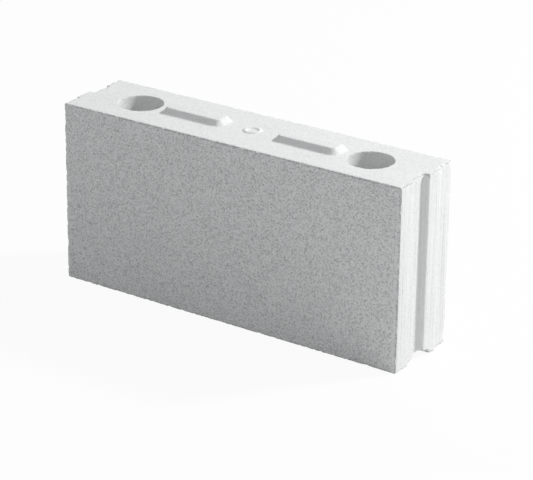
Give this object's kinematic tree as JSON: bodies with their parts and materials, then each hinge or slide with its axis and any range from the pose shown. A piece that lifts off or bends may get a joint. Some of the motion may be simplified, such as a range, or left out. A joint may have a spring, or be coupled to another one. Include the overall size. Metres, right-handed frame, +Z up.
{
  "type": "calcium silicate block",
  "caption": "Pale calcium silicate wall block with raised keys on top, a channel below, two upright round holes and tongue-and-groove ends.",
  "frame": {"origin": "middle of the lower bed face", "axes": "+X along the wall, towards the end with the groove in front; +Y through the wall's thickness, away from the front face; +Z up through the block's height"},
  "size_m": [0.505, 0.115, 0.2455],
  "materials": {
    "calcium_silicate": "matt, fine sandy, unpainted"
  },
  "bodies": {
    "root": {"calcium_silicate_block": "calcium_silicate"}
  },
  "joints": []
}
